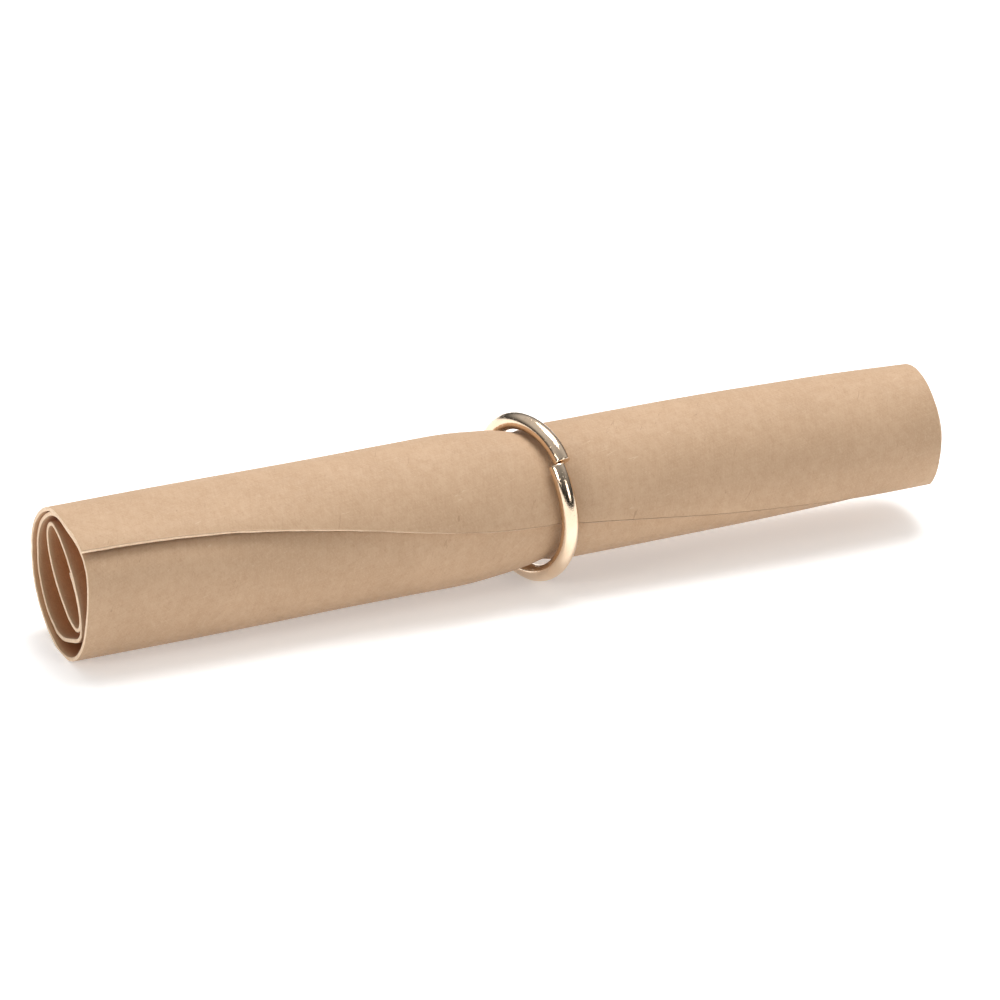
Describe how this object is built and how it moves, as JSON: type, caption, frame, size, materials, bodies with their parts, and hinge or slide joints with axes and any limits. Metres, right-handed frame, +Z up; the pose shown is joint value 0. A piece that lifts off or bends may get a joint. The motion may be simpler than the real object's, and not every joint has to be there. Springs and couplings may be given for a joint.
{
  "type": "paper scroll",
  "caption": "Small tapering scroll of plain kraft paper, rolled up loosely and held closed at its middle by a split ring of round pale gold wire.",
  "frame": {"origin": "middle of the footprint's box, on the surface that the scroll lies on", "axes": "+X along the roll towards its narrow end, +Z up, -Y the side on which the sheet's free edge shows"},
  "size_m": [0.0544, 0.0098, 0.0098],
  "materials": {
    "kraft_paper": "matt, unbleached, faintly fibrous",
    "pale_gold_wire": "polished pale gold plating"
  },
  "bodies": {
    "sheet": {"rolled_sheet": "kraft_paper"},
    "ring": {"jump_ring": "pale_gold_wire"}
  },
  "joints": [
    {"name": "ring_slide", "type": "slide", "parent": "sheet", "child": "ring", "axis": [0.9997, 0, 0.0239], "range_m": [0, 0.031]}
  ]
}
